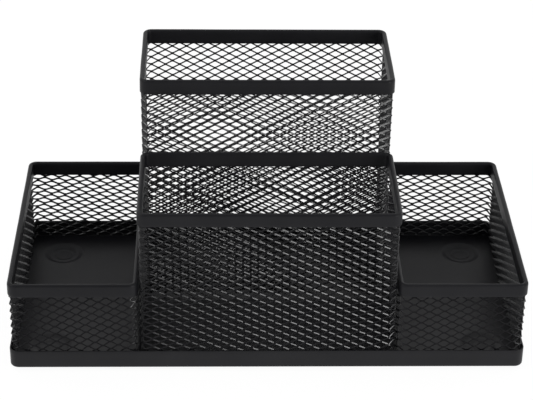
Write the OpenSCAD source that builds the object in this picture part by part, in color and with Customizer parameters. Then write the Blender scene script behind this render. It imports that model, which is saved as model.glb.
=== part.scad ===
// Desk organizer: four open compartments of black coated expanded steel.
// A low tray stands on each side, with a middle cup in front of a tall cup between them.
// Each compartment is its own four-sided sleeve with a folded rim, and all four stand
// in one sheet-steel base pan on four rubber feet.
// Frame: origin under the centre of the footprint, +X right, +Y to the back, +Z up, millimetres.

/* [Overall] */
// Width of the base pan over its flanges
overall_w = 206.6; // [190:0.1:230]
// Depth of the base pan over its flanges
overall_d = 103.9; // [95:0.1:120]
// How far the pan's flange stands out past the rims on every side
base_lap = 0.4; // [0:0.05:1]
// Plan radius of every rim and base corner
corner_r = 3.5; // [3:0.1:5]

/* [Compartments] */
// Width of the two cups
cup_w = 102.9; // [90:0.1:110]
// Depth of the front cup
front_cup_d = 52.1; // [45:0.1:58]
// Height of the side trays above the pan's underside
tray_h = 38.7; // [30:0.1:50]
// Height of the front cup above the pan's underside
front_cup_h = 70.7; // [60:0.1:80]
// Height of the rear cup above the pan's underside
rear_cup_h = 102.4; // [90:0.1:115]

/* [Sheet metal] */
// Thickness of the rim and base sheet
sheet_t = 0.6; // [0.5:0.05:0.8]
// Thickness of the expanded metal where the rims clamp it
mesh_t = 0.8; // [0.6:0.05:1]
// Outer leg of the folded rim on the trays and the front cup
rim_h = 5.5; // [4:0.1:8]
// Outer leg of the folded rim on the rear cup
rear_rim_h = 6.1; // [4:0.1:8]
// Inner leg of every folded rim
inner_leg_h = 6.1; // [4:0.1:8]
// Height of the base pan's upturned flange
flange_h = 8; // [6:0.1:10]
// Outer radius of the bend between pan floor and flange
bend_r = 1; // [0.8:0.1:1]

/* [Feet] */
// Distance of a foot's centre from the middle, left and right
foot_x = 88; // [70:1:92]
// Distance of a foot's centre from the middle, front and back
foot_y = 36; // [30:1:40]
// Diameter of a rubber foot
foot_d = 12.4; // [9:0.1:13]
// Thickness of a rubber foot
foot_t = 1.2; // [1:0.1:3]
// Diameter of the pressed dish above each foot
dish_d = 17.6; // [16:0.1:20]
// Depth of the pressed dish
dish_depth = 0.8; // [0.4:0.1:1.2]
// Extra depth of the small step in the middle of the dish
step_depth = 0.3; // [0.2:0.05:0.5]

/* [Hidden] */
$fn = 64;

rim_t = 2 * sheet_t + mesh_t;             // folded rim, both legs and the mesh between them
pan_z = foot_t + dish_depth;              // underside of the pan floor
floor_z = pan_z + sheet_t;                // top of the pan floor
body_w = overall_w - 2 * base_lap;        // over the rims of both trays
body_d = overall_d - 2 * base_lap;
tray_w = (body_w - cup_w) / 2;
tray_x = (cup_w + tray_w) / 2;            // centre of the right tray
front_cup_y = -body_d / 2 + front_cup_d / 2;
rear_cup_d = body_d - front_cup_d;
rear_cup_y = body_d / 2 - rear_cup_d / 2;

// Rounded rectangle centred on the origin
module rounded_plan(w, d, r) {
  union() {
    square([w - 2 * r, d], center = true);
    square([w, d - 2 * r], center = true);
    for (x = [-1, 1], y = [-1, 1])
      translate([x * (w / 2 - r), y * (d / 2 - r)]) circle(r);
  }
}

// Sweeps a section, drawn with x = 0 at the corner centre and x = r at the outside,
// round a rounded rectangle of outer size w by d. The runs and corners meet face to face.
module swept_ring(w, d, r) {
  for (s = [0, 1]) rotate(180 * s) {
    translate([w / 2 - r, -(d / 2 - r), 0])
      rotate([90, 0, 180]) mirror([1, 0, 0]) linear_extrude(d - 2 * r) children();
    translate([w / 2 - r, d / 2 - r, 0]) rotate_extrude(angle = 90) children();
    translate([w / 2 - r, d / 2 - r, 0])
      rotate([90, 0, -90]) mirror([1, 0, 0]) linear_extrude(w - 2 * r) children();
    translate([-(w / 2 - r), d / 2 - r, 0]) rotate([0, 0, 90]) rotate_extrude(angle = 90) children();
  }
}

// Section of a folded rim, top of the fold at y = 0: two legs joined by a round fold, open at the bottom
module rim_section(r, outer_h) {
  translate([r - rim_t, 0]) union() {
    translate([0, -inner_leg_h]) square([sheet_t, inner_leg_h - rim_t / 2]);
    translate([rim_t - sheet_t, -outer_h]) square([sheet_t, outer_h - rim_t / 2]);
    translate([rim_t / 2, -rim_t / 2]) difference() {
      circle(rim_t / 2);
      circle(rim_t / 2 - sheet_t);
      translate([-rim_t, -2 * rim_t]) square([2 * rim_t, 2 * rim_t]);
    }
  }
}

// Section of the pan's edge: the end of the floor, the bend and the upturned flange
module flange_section(r) {
  union() {
    square([r - bend_r, sheet_t]);
    translate([r - bend_r, bend_r]) difference() {
      circle(bend_r);
      circle(bend_r - sheet_t);
      translate([-2 * bend_r, -2 * bend_r]) square([2 * bend_r, 4 * bend_r]);
      translate([-2 * bend_r, 0]) square([4 * bend_r, 2 * bend_r]);
    }
    translate([r - sheet_t, bend_r]) square([sheet_t, flange_h - bend_r]);
  }
}

// Four-sided sleeve of expanded metal, drawn as a plain wall standing on the pan floor
module sleeve(w, d, h) {
  low = floor_z;
  high = pan_z + h - sheet_t - mesh_t / 2;
  color([0.06, 0.06, 0.065]) translate([0, 0, low]) linear_extrude(high - low) difference() {
    rounded_plan(w - 2 * sheet_t, d - 2 * sheet_t, corner_r - sheet_t);
    rounded_plan(w - 2 * sheet_t - 2 * mesh_t, d - 2 * sheet_t - 2 * mesh_t, corner_r - sheet_t - mesh_t);
  }
}

// Folded rim over the top edge of a sleeve
module rim(w, d, h, outer_h) {
  color([0.09, 0.09, 0.095]) translate([0, 0, pan_z + h])
    swept_ring(w, d, corner_r) rim_section(corner_r, outer_h);
}

// One pressed dish with its small middle step, as a turned sheet, top of sheet at z = sheet_t
module dish() {
  r0 = dish_d / 2;
  r1 = r0 - 1.6;
  r2 = 4.4;
  r3 = 3.6;
  rotate_extrude() polygon([
    [0, -dish_depth - step_depth + sheet_t], [r3, -dish_depth - step_depth + sheet_t],
    [r2, -dish_depth + sheet_t], [r1, -dish_depth + sheet_t], [r0, sheet_t],
    [r0, 0], [r1, -dish_depth], [r2, -dish_depth], [r3, -dish_depth - step_depth],
    [0, -dish_depth - step_depth]]);
}

module base_pan() {
  color([0.09, 0.09, 0.095]) translate([0, 0, pan_z]) union() {
    difference() {
      linear_extrude(sheet_t) square([overall_w - 2 * corner_r, overall_d - 2 * corner_r], center = true);
      for (x = [-foot_x, foot_x], y = [-foot_y, foot_y])
        translate([x, y, -1]) cylinder(h = sheet_t + 2, d = dish_d);
    }
    for (x = [-foot_x, foot_x], y = [-foot_y, foot_y]) translate([x, y, 0]) dish();
    swept_ring(overall_w, overall_d, corner_r) flange_section(corner_r);
  }
}

module tray_sleeve(side) {
  translate([side * tray_x, 0, 0]) sleeve(tray_w, body_d, tray_h);
}

module tray_rim(side) {
  translate([side * tray_x, 0, 0]) rim(tray_w, body_d, tray_h, rim_h);
}

module front_cup_mesh() {
  translate([0, front_cup_y, 0]) sleeve(cup_w, front_cup_d, front_cup_h);
}

module rear_cup_mesh() {
  translate([0, rear_cup_y, 0]) sleeve(cup_w, rear_cup_d, rear_cup_h);
}

module front_cup_rim() {
  translate([0, front_cup_y, 0]) rim(cup_w, front_cup_d, front_cup_h, rim_h);
}

module rear_cup_rim() {
  translate([0, rear_cup_y, 0]) rim(cup_w, rear_cup_d, rear_cup_h, rear_rim_h);
}

// Round rubber pad with a bevelled lower edge and a pocket for the middle step of the dish
module foot(sx, sy) {
  color([0.03, 0.03, 0.03]) translate([sx * foot_x, sy * foot_y, 0]) difference() {
    rotate_extrude() polygon([[0, 0], [foot_d / 2 - 0.3, 0], [foot_d / 2, 0.3],
                              [foot_d / 2, foot_t], [0, foot_t]]);
    translate([0, 0, foot_t - step_depth]) cylinder(h = step_depth + 1, r = 4.5);
  }
}

base_pan();
tray_sleeve(-1);  // left_tray_mesh
tray_sleeve(1);  // right_tray_mesh
front_cup_mesh();
rear_cup_mesh();
tray_rim(-1);  // left_tray_rim
tray_rim(1);  // right_tray_rim
front_cup_rim();
rear_cup_rim();
foot(-1, -1);  // front_left_foot
foot(1, -1);  // front_right_foot
foot(-1, 1);  // rear_left_foot
foot(1, 1);  // rear_right_foot
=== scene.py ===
"""Looks of the desk organizer: raised expanded-metal sleeves, folded rims, a pressed base pan and rubber feet,
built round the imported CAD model. Metres, same frame as the CAD."""

import math
import bpy
import numpy as np
from mathutils import Matrix, Vector


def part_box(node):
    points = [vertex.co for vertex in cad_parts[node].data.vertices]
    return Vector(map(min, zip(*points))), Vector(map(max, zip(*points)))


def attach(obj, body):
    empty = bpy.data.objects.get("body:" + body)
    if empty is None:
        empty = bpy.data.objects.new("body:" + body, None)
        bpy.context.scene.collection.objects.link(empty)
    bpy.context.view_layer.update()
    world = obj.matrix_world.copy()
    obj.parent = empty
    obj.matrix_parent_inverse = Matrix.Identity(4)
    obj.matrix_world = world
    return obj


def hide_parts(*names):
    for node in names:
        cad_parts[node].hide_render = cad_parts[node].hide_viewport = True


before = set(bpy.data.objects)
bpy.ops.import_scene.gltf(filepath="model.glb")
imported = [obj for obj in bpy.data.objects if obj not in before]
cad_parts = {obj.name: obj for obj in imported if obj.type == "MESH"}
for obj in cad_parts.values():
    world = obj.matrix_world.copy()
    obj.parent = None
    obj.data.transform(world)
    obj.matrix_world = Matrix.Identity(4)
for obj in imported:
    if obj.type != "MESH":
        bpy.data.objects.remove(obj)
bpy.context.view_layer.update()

MM = 0.001

# ---------------------------------------------------------------- sizes, from the CAD boxes
pan_lo, pan_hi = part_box("base_pan")
foot_lo, foot_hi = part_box("front_left_foot")
CORNER_R = 3.5 * MM
SHEET = 0.6 * MM
RIM_T = 2.0 * MM
BEND_R = 1.0 * MM
DISH_DEPTH = 0.8 * MM
STEP_DEPTH = 0.3 * MM
PAN_Z = foot_hi.z + DISH_DEPTH
FLOOR_TOP = PAN_Z + SHEET

COMPARTMENTS = ("left_tray", "right_tray", "front_cup", "rear_cup")
OUTER_LEG = {"left_tray": 5.5 * MM, "right_tray": 5.5 * MM, "front_cup": 5.5 * MM, "rear_cup": 6.1 * MM}


# ---------------------------------------------------------------- small helpers
def link(ob):
    bpy.context.scene.collection.objects.link(ob)
    return ob


def build_mesh(name, verts, quads, tris=None, uv=None, smooth=True):
    """A mesh from arrays: quads (n, 4), tris (m, 3), and an optional UV for every loop."""
    quads = np.asarray(quads, np.int32).reshape(-1, 4)
    tris = np.zeros((0, 3), np.int32) if tris is None else np.asarray(tris, np.int32).reshape(-1, 3)
    me = bpy.data.meshes.new(name)
    me.vertices.add(len(verts))
    me.vertices.foreach_set("co", np.asarray(verts, np.float32).ravel())
    loops = np.concatenate([quads.ravel(), tris.ravel()])
    me.loops.add(len(loops))
    me.loops.foreach_set("vertex_index", loops)
    starts = np.concatenate([np.arange(len(quads)) * 4, len(quads) * 4 + np.arange(len(tris)) * 3])
    me.polygons.add(len(starts))
    me.polygons.foreach_set("loop_start", starts.astype(np.int32))
    me.polygons.foreach_set("use_smooth", np.full(len(starts), smooth))
    me.update(calc_edges=True)
    me.validate()
    if uv is not None:
        layer = me.uv_layers.new(name="OFBake")
        layer.data.foreach_set("uv", np.asarray(uv, np.float32).ravel())
    return link(bpy.data.objects.new(name, me))


def soft_noise(seed, n=7, low=0.006, high=0.05):
    """A smooth, repeatable field of a few sine waves over 3-D points, about -1 to 1."""
    rng = np.random.default_rng(seed)
    k = rng.normal(size=(n, 3))
    k /= np.linalg.norm(k, axis=1)[:, None]
    k *= (2 * math.pi / rng.uniform(low, high, size=n))[:, None]
    ph = rng.uniform(0, 2 * math.pi, n)
    return lambda p: np.sin(np.asarray(p) @ k.T + ph).sum(-1) / math.sqrt(n / 2) / 1.6


# ---------------------------------------------------------------- rounded-rectangle path
class Path:
    """The rounded rectangle at a given inset from the outer outline. s = 0 is the middle of the front, and s grows to
    the right as each wall is seen from outside."""

    def __init__(self, cx, cy, w, d, inset):
        self.cx, self.cy = cx, cy
        self.hx, self.hy = w / 2 - inset, d / 2 - inset
        self.r = CORNER_R - inset
        self.lx, self.ly = 2 * (self.hx - self.r), 2 * (self.hy - self.r)
        self.arc = math.pi / 2 * self.r
        self.length = 2 * self.lx + 2 * self.ly + 4 * self.arc

    def at(self, s):
        """Position and outward normal for an array of s."""
        s = np.mod(np.asarray(s, float) + self.lx / 2, self.length)
        x = np.zeros_like(s)
        y = np.zeros_like(s)
        nx = np.zeros_like(s)
        ny = np.zeros_like(s)
        t = 0.0
        # front, right, rear, left: start corner, run direction, outward normal
        walls = (
            ((-self.lx / 2, -self.hy), (1, 0), (0, -1), self.lx),
            ((self.hx, -self.ly / 2), (0, 1), (1, 0), self.ly),
            ((self.lx / 2, self.hy), (-1, 0), (0, 1), self.lx),
            ((-self.hx, self.ly / 2), (0, -1), (-1, 0), self.ly),
        )
        corners = (
            (self.lx / 2, -self.ly / 2),
            (self.lx / 2, self.ly / 2),
            (-self.lx / 2, self.ly / 2),
            (-self.lx / 2, -self.ly / 2),
        )
        for i, (p0, run, n, ln) in enumerate(walls):
            m = (s >= t) & (s <= t + ln)
            u = s - t
            x[m] = p0[0] + run[0] * u[m]
            y[m] = p0[1] + run[1] * u[m]
            nx[m], ny[m] = n
            t += ln
            m = (s > t) & (s < t + self.arc)
            a = math.atan2(n[1], n[0]) + (s - t) / self.r
            nx[m], ny[m] = np.cos(a[m]), np.sin(a[m])
            x[m] = corners[i][0] + self.r * nx[m]
            y[m] = corners[i][1] + self.r * ny[m]
            t += self.arc
        return np.stack([x + self.cx, y + self.cy], -1), np.stack([nx, ny], -1)


# ---------------------------------------------------------------- expanded metal
PITCH_L = 6.10 * MM  # long way of the diamond
PITCH_S = 3.42 * MM  # short way
STRAND_T = 0.40 * MM
SLEEVE_INSET = 0.86 * MM  # middle of the sleeve, from the rim's outer face


def expanded_sleeve(name, rim_node, skew_deg, s_off, z_off, samples, seed, tilt_deg, STRAND_W, bond):
    """One continuous strip of raised expanded metal, closed into a sleeve: rows of zig-zag strands that touch at the
    bonds. Each strand's wide face is tilted, its upper edge inward when tilt_deg is positive and outward when it is
    negative: the sheet has two sides, and the cups and trays are folded opposite ways."""
    TILT = math.radians(tilt_deg)
    lo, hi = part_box(rim_node)
    cx, cy, w, d = (lo.x + hi.x) / 2, (lo.y + hi.y) / 2, hi.x - lo.x, hi.y - lo.y
    path = Path(cx, cy, w, d, SLEEVE_INSET)
    outer_leg = OUTER_LEG[name.replace("_expanded_metal", "")]
    P = path.length
    z_lo, z_hi = FLOOR_TOP + 0.35 * MM, hi.z - 4.4 * MM
    half = PITCH_S / 2
    M = round(P * math.sin(math.radians(skew_deg)) / half)
    theta = math.asin(M * half / P)
    N = round(2 * P * math.cos(theta) / PITCH_L)
    if (N + M) % 2:
        N += 1 if 2 * P * math.cos(theta) / PITCH_L > N else -1
    L = 2 * P * math.cos(theta) / N
    ct, st = math.cos(theta), math.sin(theta)
    amp = (half - STRAND_W * 0.94 * math.cos(TILT)) / 2
    out = STRAND_W * 0.94 / 2 * math.sin(TILT)
    f = np.array(samples)
    K = len(f)
    # height of the strand inside its row over one half period, 1 at the upper bond and -1 at the lower
    h = np.interp(f, [0, bond, 1 - bond, 1], [1, 0.95, -0.95, -1])

    if M == 0:
        j0 = int(math.floor((z_lo - z_off) / half)) - 2
        j1 = int(math.ceil((z_hi - z_off) / half)) + 2
        rows = [(j, 0, N) for j in range(j0, j1 + 1)]
    else:
        rows = []
        for j in range(abs(M)):
            ka = ((z_lo - z_off - j * half * ct) / st) / (L / 2)
            kb = ((z_hi - z_off - j * half * ct) / st) / (L / 2)
            k0, k1 = int(math.floor(min(ka, kb))) - 8, int(math.ceil(max(ka, kb))) + 8
            rows.append((j, k0, k1))

    bow = soft_noise(seed, 5, 0.05, 0.16)
    fine = soft_noise(seed + 1, 9, 0.004, 0.02)
    e = 0.09 * MM
    sec = np.array([(-STRAND_W / 2, 0), (-STRAND_W / 2 + e, STRAND_T / 2), (STRAND_W / 2 - e, STRAND_T / 2),
                    (STRAND_W / 2, 0), (STRAND_W / 2 - e, -STRAND_T / 2), (-STRAND_W / 2 + e, -STRAND_T / 2)])
    C = len(sec)
    perim = np.concatenate([[0], np.cumsum(np.linalg.norm(np.roll(sec, -1, 0) - sec, axis=1))])
    verts, quads, tris, uvs, tuvs = [], [], [], [], []
    base = 0
    strip = 0
    for j, k0, k1 in rows:
        k = np.arange(k0, k1)
        a = ((k[:, None] + f[None, :]) * (L / 2)).ravel()
        up = ((k + j) % 2 == 0)  # this half period starts at an upper bond
        hh = np.where(up[:, None], h[None, :], -h[None, :]).ravel()
        if M != 0:
            a = np.append(a, k1 * L / 2)
            hh = np.append(hh, 1.0 if (k1 + j) % 2 == 0 else -1.0)
        b = j * half + amp * hh
        n = out * hh
        s = s_off + a * ct - b * st
        z = z_off + a * st + b * ct
        closed = M == 0
        # tangent in the unrolled strip
        pts = np.stack([s, z, n], -1)
        if closed:
            ext = np.vstack([pts[-1] - [N * L / 2, 0, 0], pts, pts[0] + [N * L / 2, 0, 0]])
        else:
            ext = np.vstack([2 * pts[0] - pts[1], pts, 2 * pts[-1] - pts[-2]])
        seg = ext[1:] - ext[:-1]
        seg /= np.linalg.norm(seg, axis=1)[:, None]
        tan = seg[1:] + seg[:-1]
        tan /= np.linalg.norm(tan, axis=1)[:, None]
        w0 = np.array([-st * math.cos(TILT), ct * math.cos(TILT), -math.sin(TILT)])
        wv = w0[None, :] - tan * (tan @ w0)[:, None]
        wv /= np.linalg.norm(wv, axis=1)[:, None]
        tv = np.cross(tan, wv)
        p2, nrm = path.at(s)
        p3 = np.column_stack([p2, z])
        n = n + 0.16 * MM * bow(p3) + 0.025 * MM * fine(p3)
        # local axes in space: along the wall, up, outward
        ax_s = np.column_stack([-nrm[:, 1], nrm[:, 0], np.zeros(len(nrm))])
        ax_n = np.column_stack([nrm, np.zeros(len(nrm))])
        ax_z = np.array([0, 0, 1.0])

        def to3(v):
            return ax_s * v[:, :1] + ax_z * v[:, 1:2] + ax_n * v[:, 2:3]

        W3, T3 = to3(wv), to3(tv)
        ring = p3[:, None, :] + W3[:, None, :] * sec[None, :, :1] + T3[:, None, :] * sec[None, :, 1:2]
        # how far out each point lies; pressed flat inside the flange and between the legs of the rim
        q = n[:, None] + wv[:, 2:3] * sec[None, :, 0] + tv[:, 2:3] * sec[None, :, 1]
        q0 = q - n[:, None]
        zr = ring[:, :, 2]
        out_lim = np.interp(zr, [pan_hi.z + 0.1 * MM, pan_hi.z + 0.8 * MM, hi.z - outer_leg - 0.7 * MM,
                                 hi.z - outer_leg - 0.05 * MM], [0.20, 0.95, 0.95, 0.22]) * MM
        in_lim = np.interp(zr, [lo.z - 0.7 * MM, lo.z - 0.05 * MM], [-0.95, -0.50]) * MM
        q = np.minimum(np.maximum(q, in_lim), out_lim)
        ring = ring + ax_n[:, None, :] * (q - q0)[:, :, None]
        ok = (z > z_lo) & (z < z_hi)
        if closed and ok.all():
            runs = [(np.arange(len(s)), True)]
        else:
            idx = np.flatnonzero(ok)
            if len(idx) == 0:
                continue
            cuts = np.flatnonzero(np.diff(idx) > 1)
            runs = [(r, False) for r in np.split(idx, cuts + 1) if len(r) > 1]
        for idx, loop in runs:
            m = len(idx)
            verts.append(ring[idx].reshape(-1, 3))
            i0 = np.arange(m if loop else m - 1)
            i1 = (i0 + 1) % m
            c0 = np.arange(C)
            c1 = (c0 + 1) % C
            q = np.stack([i0[:, None] * C + c0[None], i0[:, None] * C + c1[None],
                          i1[:, None] * C + c1[None], i1[:, None] * C + c0[None]], -1).reshape(-1, 4) + base
            quads.append(q)
            # unrolled UV: u along the strand inside one turn, v in the strip of this row and turn
            al = a[idx]
            al = np.append(al, al[-1] + (al[-1] - al[-2])) if loop else al
            mid = (al[:-1] + al[1:]) / 2 if loop else (al[:-1] + al[1:]) / 2
            turn = np.floor(mid / P).astype(int)
            turn_id = turn - turn.min() + strip
            u0 = al[: len(i0)] - turn * P
            u1 = al[1: len(i0) + 1] - turn * P
            va = perim[:-1]
            vb = perim[1:]
            vbase = turn_id * (perim[-1] * 1.35)
            quv = np.zeros((len(i0), C, 4, 2))
            quv[:, :, 0, 0] = u0[:, None]
            quv[:, :, 1, 0] = u0[:, None]
            quv[:, :, 2, 0] = u1[:, None]
            quv[:, :, 3, 0] = u1[:, None]
            quv[:, :, 0, 1] = vbase[:, None] + va[None]
            quv[:, :, 1, 1] = vbase[:, None] + vb[None]
            quv[:, :, 2, 1] = vbase[:, None] + vb[None]
            quv[:, :, 3, 1] = vbase[:, None] + va[None]
            uvs.append(quv.reshape(-1, 2))
            if not loop:  # close both cut ends
                for end, flip in ((0, True), (m - 1, False)):
                    fan = [(base + end * C, base + end * C + i + 1, base + end * C + i + 2) for i in range(C - 2)]
                    if flip:
                        fan = [(x, z_, y) for x, y, z_ in fan]
                    tris += fan
                    t0 = turn_id[0] if end == 0 else turn_id[-1]
                    uu = (u0[0] if end == 0 else u1[-1])
                    for _ in fan:
                        tuvs += [(uu, t0 * perim[-1] * 1.35 + perim[-1] * 1.1),
                                 (uu + 0.0002, t0 * perim[-1] * 1.35 + perim[-1] * 1.1),
                                 (uu, t0 * perim[-1] * 1.35 + perim[-1] * 1.2)]
            base += m * C
            strip = int(turn_id.max()) + 1
    verts = np.concatenate(verts)
    quads = np.concatenate(quads)
    uv = np.concatenate(uvs + ([np.array(tuvs)] if tuvs else []))
    uv -= uv.min(0)
    uv = 0.004 + uv * (0.992 / uv.max())
    return build_mesh(name, verts, quads, tris, uv, smooth=False)


# ---------------------------------------------------------------- swept sheet pieces
def swept_piece(name, rim_node, section, seed, wave=0.05 * MM, step=3.0 * MM, arc_n=10):
    """Sweeps a closed section of (inset from the outer outline, height) round a compartment's rounded rectangle."""
    lo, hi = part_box(rim_node)
    cx, cy, w, d = (lo.x + hi.x) / 2, (lo.y + hi.y) / 2, hi.x - lo.x, hi.y - lo.y
    path = Path(cx, cy, w, d, 0.0)
    s = []
    t = -path.lx / 2
    for ln in (path.lx, path.ly, path.lx, path.ly):
        n = max(2, int(round(ln / step)))
        s += list(t + ln * np.arange(n) / n)
        t += ln
        s += list(t + path.arc * np.arange(arc_n) / arc_n)
        t += path.arc
    p, nrm = path.at(np.array(s))
    sec = np.array(section)
    m, C = len(s), len(sec)
    co = np.zeros((m, C, 3))
    co[:, :, :2] = p[:, None, :] - nrm[:, None, :] * sec[None, :, :1]
    co[:, :, 2] = sec[None, :, 1]
    field = soft_noise(seed, 7, 0.012, 0.07)
    co[:, :, :2] += nrm[:, None, :] * (wave * field(co))[:, :, None]
    i0 = np.arange(m)
    i1 = (i0 + 1) % m
    c0 = np.arange(C)
    c1 = (c0 + 1) % C
    q = np.stack([i0[:, None] * C + c0[None], i1[:, None] * C + c0[None],
                  i1[:, None] * C + c1[None], i0[:, None] * C + c1[None]], -1).reshape(-1, 4)
    per = np.concatenate([[0], np.cumsum(np.linalg.norm(np.roll(sec, -1, 0) - sec, axis=1))])
    sl = np.append(np.array(s), s[0] + path.length) - s[0]
    uv = np.zeros((m, C, 4, 2))
    uv[:, :, 0, 0] = uv[:, :, 3, 0] = sl[:-1, None]
    uv[:, :, 1, 0] = uv[:, :, 2, 0] = sl[1:, None]
    uv[:, :, 0, 1] = uv[:, :, 1, 1] = per[None, :-1]
    uv[:, :, 2, 1] = uv[:, :, 3, 1] = per[None, 1:]
    return co, q, uv, sl, per


def rim_section(z_out, z_in, z1):
    """Folded rim: outer leg down to z_out, round fold and inner leg down to z_in, with softened lower edges."""
    r, t = RIM_T / 2, SHEET
    e = 0.12 * MM
    pts = []

    def edge(z0, x_out, x_in):
        """Lower edge of a leg, from one face to the other, slightly rounded."""
        sg = 1 if x_in > x_out else -1
        return [(x_out, z0 + e), (x_out + sg * e * 0.3, z0 + e * 0.3), (x_out + sg * e, z0), (x_in - sg * e, z0),
                (x_in - sg * e * 0.3, z0 + e * 0.3), (x_in, z0 + e)]

    # outer face up
    pts += [(0, z_out + e + (z1 - r - z_out - e) * k / 4) for k in range(1, 5)]
    pts += [(r - r * math.cos(a), z1 - r + r * math.sin(a)) for a in np.linspace(0, math.pi, 13)[1:-1]]
    pts += [(RIM_T, z1 - r - (z1 - r - z_in - e) * k / 4) for k in range(0, 4)]
    pts += edge(z_in, RIM_T, RIM_T - t)
    pts += [(RIM_T - t, z1 - r)]
    ri = r - t
    pts += [(r + ri * math.cos(a), z1 - r + ri * math.sin(a)) for a in np.linspace(0, math.pi, 7)[1:-1]]
    pts += [(t, z1 - r)]
    pts += list(reversed(edge(z_out, 0, t)))
    return pts[:]


def make_rim(name, node, seed):
    lo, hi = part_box(node)
    co, q, uv, sl, per = swept_piece(name, node, rim_section(hi.z - OUTER_LEG[node[:-4]], lo.z, hi.z), seed)
    u = uv.reshape(-1, 2).copy()
    # wrap the long strip into four rows so that it fills the square
    quarter = sl[-1] / 4
    mid = (uv[:, :, 0, 0] + uv[:, :, 1, 0]) / 2
    row = np.floor(mid / quarter).clip(0, 3)
    uv[..., 0] -= (row * quarter)[:, :, None]
    uv[..., 1] += (row * per[-1] * 1.1)[:, :, None]
    u = uv.reshape(-1, 2)
    u -= u.min(0)
    u = 0.01 + u * (0.98 / u.max())
    return build_mesh(name, co.reshape(-1, 3), q, None, u)


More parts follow.
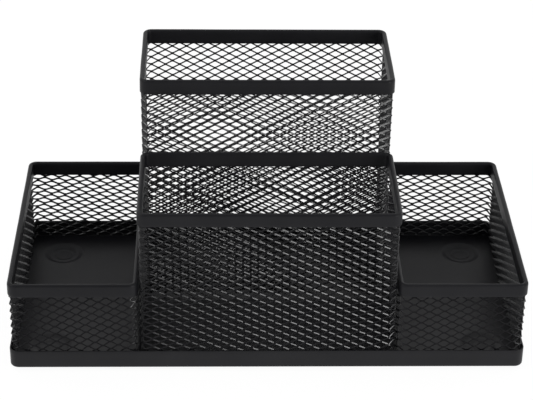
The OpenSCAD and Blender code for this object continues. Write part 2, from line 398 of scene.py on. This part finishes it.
# ---------------------------------------------------------------- base pan
def make_pan(name):
    w, d = pan_hi.x - pan_lo.x, pan_hi.y - pan_lo.y
    top = pan_hi.z
    hx, hy = w / 2 - CORNER_R, d / 2 - CORNER_R
    fx = (foot_lo.x + foot_hi.x) / 2
    fy = (foot_lo.y + foot_hi.y) / 2
    fx, fy = abs(fx), abs(fy)

    def lines(half, centre):
        """Grid lines, fine across the dishes and coarse between them."""
        a = np.linspace(centre - 9.9 * MM, centre + 9.9 * MM, 41)
        inner = np.linspace(-(centre - 9.9 * MM), centre - 9.9 * MM, 2 + int(2 * (centre - 9.9 * MM) / (2.6 * MM)))
        outer = np.linspace(centre + 9.9 * MM, half, 3)[1:]
        right = np.concatenate([a, outer])
        return np.concatenate([-right[::-1], inner[1:-1], right])

    X, Y = lines(hx, fx), lines(hy, fy)

    def smooth(e0, e1, v):
        t = np.clip((v - e0) / (e1 - e0), 0, 1)
        return t * t * (3 - 2 * t)

    bow = soft_noise(41, 6, 0.05, 0.14)

    def height(x, y):
        r = np.sqrt((np.abs(x) - fx) ** 2 + (np.abs(y) - fy) ** 2)
        z = -DISH_DEPTH * (1 - smooth(5.8 * MM, 8.8 * MM, r))
        z -= STEP_DEPTH * (1 - smooth(3.1 * MM, 4.6 * MM, r))
        edge = np.minimum(hx - np.abs(x), hy - np.abs(y)).clip(0, 0.012) / 0.012
        z += 0.10 * MM * edge * bow(np.stack([x, y, 0 * x], -1))
        return z

    # perimeter of the inner grid, then the bend and the flange swept round it
    inner = [(x, -hy, 0, -1) for x in X] + [(hx, y, 1, 0) for y in Y] + \
            [(x, hy, 0, 1) for x in X[::-1]] + [(-hx, y, -1, 0) for y in Y[::-1]]
    ring, arc_n = [], 10
    sides = [[(x, -hy) for x in X], [(hx, y) for y in Y], [(x, hy) for x in X[::-1]], [(-hx, y) for y in Y[::-1]]]
    angs = [-math.pi / 2, 0, math.pi / 2, math.pi]
    for i, side in enumerate(sides):
        a = angs[i]
        for p in side:
            ring.append((p[0], p[1], math.cos(a), math.sin(a)))
        c = side[-1]
        for k in range(1, arc_n):
            b = a + math.pi / 2 * k / arc_n
            ring.append((c[0], c[1], math.cos(b), math.sin(b)))
    ring = np.array(ring)
    # section from the top of the floor, over the flange, to the underside, with z from the pan's underside
    t, R = SHEET, CORNER_R
    e = 0.16 * MM
    ri = BEND_R - t
    sec = [(0, t), (R - BEND_R, t)]
    sec += [(R - BEND_R + ri * math.sin(a), BEND_R - ri * math.cos(a)) for a in np.linspace(0, math.pi / 2, 7)[1:]]
    H = top - PAN_Z
    sec += [(R - t, BEND_R + (H - e - BEND_R) * k / 4) for k in range(1, 5)]
    sec += [(R - t + e * 0.3, H - e * 0.3), (R - t + e, H), (R - e, H), (R - e * 0.3, H - e * 0.3)]
    sec += [(R, H - e - (H - e - BEND_R) * k / 4) for k in range(0, 5)]
    sec += [(R - BEND_R + BEND_R * math.sin(a), BEND_R - BEND_R * math.cos(a))
            for a in np.linspace(math.pi / 2, 0, 9)[1:]]
    sec += [(0, 0)]
    sec = np.array(sec)
    m, C = len(ring), len(sec)
    co = np.zeros((m, C, 3))
    co[:, :, :2] = ring[:, None, :2] + ring[:, None, 2:] * sec[None, :, :1]
    co[:, :, 2] = PAN_Z + sec[None, :, 1]
    wav = soft_noise(43, 7, 0.015, 0.09)
    lift = (sec[:, 1] / H)[None, :]
    co[:, :, :2] += ring[:, None, 2:] * (0.05 * MM * wav(co) * lift)[:, :, None]
    i0, i1 = np.arange(m), (np.arange(m) + 1) % m
    c0 = np.arange(C - 1)
    q1 = np.stack([i0[:, None] * C + c0[None], i0[:, None] * C + c0[None] + 1,
                   i1[:, None] * C + c0[None] + 1, i1[:, None] * C + c0[None]], -1).reshape(-1, 4)[:, ::-1]
    v1 = co.reshape(-1, 3)
    gx, gy = np.meshgrid(X, Y, indexing="ij")
    hz = height(gx, gy)
    topg = np.stack([gx, gy, FLOOR_TOP + hz], -1).reshape(-1, 3)
    botg = np.stack([gx, gy, PAN_Z + hz], -1).reshape(-1, 3)
    ny = len(Y)
    a, b = np.meshgrid(np.arange(len(X) - 1), np.arange(ny - 1), indexing="ij")
    g = np.stack([a * ny + b, (a + 1) * ny + b, (a + 1) * ny + b + 1, a * ny + b + 1], -1).reshape(-1, 4)
    verts = np.concatenate([v1, topg, botg])
    quads = np.concatenate([q1, g + len(v1), g[:, ::-1] + len(v1) + len(topg)])
    import bmesh

    ob = build_mesh(name, verts, quads)
    bm = bmesh.new()
    bm.from_mesh(ob.data)
    bmesh.ops.remove_doubles(bm, verts=bm.verts[:], dist=2e-6)
    bmesh.ops.dissolve_degenerate(bm, edges=bm.edges[:], dist=1e-7)
    bmesh.ops.recalc_face_normals(bm, faces=bm.faces[:])
    for fc in bm.faces:
        fc.smooth = True
    bm.to_mesh(ob.data)
    bm.free()
    return ob


# ---------------------------------------------------------------- rubber feet
def make_foot(name, node):
    lo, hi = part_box(node)
    cx, cy, r, h = (lo.x + hi.x) / 2, (lo.y + hi.y) / 2, (hi.x - lo.x) / 2, hi.z - lo.z
    e = 0.35 * MM
    prof = [(0.0001 * MM, 0.0), (r * 0.5, 0.0), (r - e, 0.0)]
    prof += [(r - e + e * math.sin(a), e - e * math.cos(a)) for a in np.linspace(0, math.pi / 2, 5)[1:]]
    prof += [(r, h - 0.15 * MM), (r - 0.05 * MM, h - 0.04 * MM), (r - 0.15 * MM, h)]
    prof += [(4.6 * MM, h), (4.5 * MM, h - 0.05 * MM), (4.5 * MM, h - STEP_DEPTH), (0.0001 * MM, h - STEP_DEPTH)]
    prof = np.array(prof)
    n = 48
    ang = 2 * math.pi * np.arange(n) / n
    co = np.zeros((n, len(prof), 3))
    co[:, :, 0] = cx + np.cos(ang)[:, None] * prof[None, :, 0]
    co[:, :, 1] = cy + np.sin(ang)[:, None] * prof[None, :, 0]
    co[:, :, 2] = lo.z + prof[None, :, 1]
    C = len(prof)
    i0, i1 = np.arange(n), (np.arange(n) + 1) % n
    c0 = np.arange(C - 1)
    q = np.stack([i0[:, None] * C + c0[None], i1[:, None] * C + c0[None],
                  i1[:, None] * C + c0[None] + 1, i0[:, None] * C + c0[None] + 1], -1).reshape(-1, 4)
    import bmesh

    ob = build_mesh(name, co.reshape(-1, 3), q)
    bm = bmesh.new()
    bm.from_mesh(ob.data)
    bmesh.ops.remove_doubles(bm, verts=bm.verts[:], dist=2e-6)
    bmesh.ops.dissolve_degenerate(bm, edges=bm.edges[:], dist=1e-7)
    bmesh.ops.recalc_face_normals(bm, faces=bm.faces[:])
    for fc in bm.faces:
        fc.smooth = True
    bm.to_mesh(ob.data)
    bm.free()
    return ob


# ---------------------------------------------------------------- materials
def powder_coat(name, dark, light, rough, rough_var, peel, ior=1.36):
    """Satin black powder coat: fine orange peel, faint mottling of colour and gloss."""
    mat = bpy.data.materials.new(name)
    mat.use_nodes = True
    nt = mat.node_tree
    bsdf = nt.nodes["Principled BSDF"]
    bsdf.inputs["Metallic"].default_value = 0.0
    bsdf.inputs["IOR"].default_value = ior
    tc = nt.nodes.new("ShaderNodeTexCoord")
    big = nt.nodes.new("ShaderNodeTexNoise")
    big.inputs["Scale"].default_value = 60.0
    big.inputs["Detail"].default_value = 3.0
    nt.links.new(tc.outputs["Object"], big.inputs["Vector"])
    ramp = nt.nodes.new("ShaderNodeValToRGB")
    ramp.color_ramp.elements[0].position = 0.3
    ramp.color_ramp.elements[0].color = (*dark, 1)
    ramp.color_ramp.elements[1].position = 0.7
    ramp.color_ramp.elements[1].color = (*light, 1)
    nt.links.new(big.outputs["Fac"], ramp.inputs["Fac"])
    nt.links.new(ramp.outputs["Color"], bsdf.inputs["Base Color"])
    mid = nt.nodes.new("ShaderNodeTexNoise")
    mid.inputs["Scale"].default_value = 420.0
    mid.inputs["Detail"].default_value = 2.0
    nt.links.new(tc.outputs["Object"], mid.inputs["Vector"])
    mr = nt.nodes.new("ShaderNodeMapRange")
    mr.inputs["To Min"].default_value = rough - rough_var
    mr.inputs["To Max"].default_value = rough + rough_var
    nt.links.new(mid.outputs["Fac"], mr.inputs["Value"])
    nt.links.new(mr.outputs["Result"], bsdf.inputs["Roughness"])
    fine = nt.nodes.new("ShaderNodeTexNoise")
    fine.inputs["Scale"].default_value = 2200.0
    fine.inputs["Detail"].default_value = 2.0
    nt.links.new(tc.outputs["Object"], fine.inputs["Vector"])
    bump = nt.nodes.new("ShaderNodeBump")
    bump.inputs["Strength"].default_value = 1.0
    bump.inputs["Distance"].default_value = peel
    nt.links.new(fine.outputs["Fac"], bump.inputs["Height"])
    nt.links.new(bump.outputs["Normal"], bsdf.inputs["Normal"])
    return mat


def rubber(name):
    mat = bpy.data.materials.new(name)
    mat.use_nodes = True
    nt = mat.node_tree
    bsdf = nt.nodes["Principled BSDF"]
    bsdf.inputs["IOR"].default_value = 1.5
    tc = nt.nodes.new("ShaderNodeTexCoord")
    no = nt.nodes.new("ShaderNodeTexNoise")
    no.inputs["Scale"].default_value = 900.0
    no.inputs["Detail"].default_value = 4.0
    nt.links.new(tc.outputs["Object"], no.inputs["Vector"])
    ramp = nt.nodes.new("ShaderNodeValToRGB")
    ramp.color_ramp.elements[0].color = (0.012, 0.012, 0.012, 1)
    ramp.color_ramp.elements[1].color = (0.026, 0.026, 0.026, 1)
    nt.links.new(no.outputs["Fac"], ramp.inputs["Fac"])
    nt.links.new(ramp.outputs["Color"], bsdf.inputs["Base Color"])
    mr = nt.nodes.new("ShaderNodeMapRange")
    mr.inputs["To Min"].default_value = 0.7
    mr.inputs["To Max"].default_value = 0.9
    nt.links.new(no.outputs["Fac"], mr.inputs["Value"])
    nt.links.new(mr.outputs["Result"], bsdf.inputs["Roughness"])
    bump = nt.nodes.new("ShaderNodeBump")
    bump.inputs["Distance"].default_value = 0.00004
    nt.links.new(no.outputs["Fac"], bump.inputs["Height"])
    nt.links.new(bump.outputs["Normal"], bsdf.inputs["Normal"])
    return mat


SHEET_MAT = powder_coat("powder_coat_sheet", (0.0070, 0.0070, 0.0086), (0.0104, 0.0104, 0.0122), 0.42, 0.05, 0.000006, 1.26)
PAN_MAT = powder_coat("powder_coat_pan", (0.0070, 0.0070, 0.0086), (0.0104, 0.0104, 0.0122), 0.42, 0.05, 0.000006, 1.30)
MESH_MAT = powder_coat("powder_coat_mesh", (0.0050, 0.0050, 0.0062), (0.0076, 0.0076, 0.0090), 0.24, 0.05, 0.000006, 1.42)
RUBBER_MAT = rubber("foot_rubber")


def finish_piece(ob, node, mat):
    ob.data.materials.clear()
    ob.data.materials.append(mat)
    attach(ob, "root")
    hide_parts(node)
    return ob


# ---------------------------------------------------------------- the pieces
# skew of the strip in degrees, offset along the wall and up, samples in half a period, seed, tilt, strand width,
# length of the bond at each end of a half period, as a share of it
SLEEVES = {
    "left_tray": (3.9, 0.0, 0.0, (0, 0.09, 0.17, 0.83, 0.91), 11, -45, 0.82 * MM, 0.17),
    "right_tray": (1.8, 0.0, 0.0, (0, 0.09, 0.17, 0.83, 0.91), 23, -45, 0.76 * MM, 0.17),
    "front_cup": (1.3, 0.0, 0.0, (0, 0.13, 0.87), 37, 27, 0.60 * MM, 0.13),
    "rear_cup": (0.0, 0.0, 0.0, (0, 0.13, 0.87), 53, 27, 0.67 * MM, 0.13),
}
for i, comp in enumerate(COMPARTMENTS):
    skew, s_off, z_off, samples, seed, tilt, strand, bond = SLEEVES[comp]
    sleeve = expanded_sleeve(comp + "_expanded_metal", comp + "_rim", skew, s_off * MM, z_off * MM, samples, seed,
                             tilt, strand, bond)
    finish_piece(sleeve, comp + "_mesh", MESH_MAT)
    rim = make_rim(comp + "_folded_rim", comp + "_rim", 70 + i)
    finish_piece(rim, comp + "_rim", SHEET_MAT)

finish_piece(make_pan("pressed_base_pan"), "base_pan", PAN_MAT)
for node in ("front_left_foot", "front_right_foot", "rear_left_foot", "rear_right_foot"):
    finish_piece(make_foot(node + "_pad", node), node, RUBBER_MAT)


# ---------------------------------------------------------------- floor, light and camera
def stage_floor():
    me = bpy.data.meshes.new("studio_floor")
    r = 6.0
    me.from_pydata([(-r, -r, 0), (r, -r, 0), (r, r, 0), (-r, r, 0)], [], [(0, 1, 2, 3)])
    ob = link(bpy.data.objects.new("studio_floor", me))
    mat = bpy.data.materials.new("pale_floor")
    mat.use_nodes = True
    nt = mat.node_tree
    bsdf = nt.nodes["Principled BSDF"]
    bsdf.inputs["Roughness"].default_value = 0.9
    bsdf.inputs["Specular IOR Level"].default_value = 0.0
    bsdf.inputs["Emission Color"].default_value = (1, 1, 1, 1)
    bsdf.inputs["Emission Strength"].default_value = 0.95
    no = nt.nodes.new("ShaderNodeTexNoise")
    no.inputs["Scale"].default_value = 3.0
    ramp = nt.nodes.new("ShaderNodeValToRGB")
    ramp.color_ramp.elements[0].color = (0.07, 0.07, 0.07, 1)
    ramp.color_ramp.elements[1].color = (0.09, 0.09, 0.09, 1)
    nt.links.new(no.outputs["Fac"], ramp.inputs["Fac"])
    nt.links.new(ramp.outputs["Color"], bsdf.inputs["Base Color"])
    me.materials.append(mat)


stage_floor()

world = bpy.data.worlds.new("studio")
bpy.context.scene.world = world
world.use_nodes = True
wt = world.node_tree
bg = wt.nodes["Background"]
bg.inputs["Color"].default_value = (1.0, 1.0, 1.0, 1)
# a white room, dimmer towards the front below the overhead light
tc = wt.nodes.new("ShaderNodeTexCoord")
sep = wt.nodes.new("ShaderNodeSeparateXYZ")
wt.links.new(tc.outputs["Generated"], sep.inputs["Vector"])


def world_ramp(socket, lo, hi, a, b):
    node = wt.nodes.new("ShaderNodeMapRange")
    node.interpolation_type = "SMOOTHSTEP"
    node.inputs["From Min"].default_value = lo
    node.inputs["From Max"].default_value = hi
    node.inputs["To Min"].default_value = a
    node.inputs["To Max"].default_value = b
    wt.links.new(socket, node.inputs["Value"])
    return node.outputs["Result"]


front = world_ramp(sep.outputs["Y"], -0.4, -0.05, 1.0, 0.0)
low = world_ramp(sep.outputs["Z"], 0.88, 0.98, 1.0, 0.0)
dim = wt.nodes.new("ShaderNodeMath")
dim.operation = "MULTIPLY"
wt.links.new(front, dim.inputs[0])
wt.links.new(low, dim.inputs[1])
wt.links.new(world_ramp(dim.outputs[0], 0.0, 1.0, 0.9, 0.32), bg.inputs["Strength"])


def area(name, direction, distance, size, power, target=(0, 0, 0.04)):
    light = bpy.data.lights.new(name, "AREA")
    light.shape = "RECTANGLE"
    light.size, light.size_y = size
    light.energy = power
    ob = link(bpy.data.objects.new(name, light))
    v = Vector(direction).normalized()
    ob.location = Vector(target) + v * distance
    ob.rotation_euler = v.to_track_quat("Z", "Y").to_euler()
    return ob


area("key_right", (0.63, -0.74, 0.24), 0.9, (0.22, 0.30), 2.7)
area("fill_left", (-0.7, -0.3, 0.6), 1.6, (0.8, 0.8), 5)

cam_data = bpy.data.cameras.new("camera")
cam = link(bpy.data.objects.new("camera", cam_data))
cam_data.sensor_fit = "HORIZONTAL"
cam_data.sensor_width = 36.0
cam_data.lens = 123.716
cam_data.clip_start = 0.01
cam_data.clip_end = 50
cam_data.dof.use_dof = False
pos = Vector((-0.020676, -0.659818, 0.424290))
yaw, pitch, roll = (math.radians(v) for v in (1.810, 29.547, 0.905))
fwd = Vector((math.sin(yaw) * math.cos(pitch), math.cos(yaw) * math.cos(pitch), -math.sin(pitch)))
rt = Vector((math.cos(yaw), -math.sin(yaw), 0))
up = rt.cross(fwd)
rt2 = rt * math.cos(roll) + up * math.sin(roll)
up2 = up * math.cos(roll) - rt * math.sin(roll)
rot = Matrix((rt2, up2, -fwd)).transposed()
cam.matrix_world = Matrix.Translation(pos) @ rot.to_4x4()
scene = bpy.context.scene
scene.camera = cam
scene.view_settings.view_transform = "Standard"
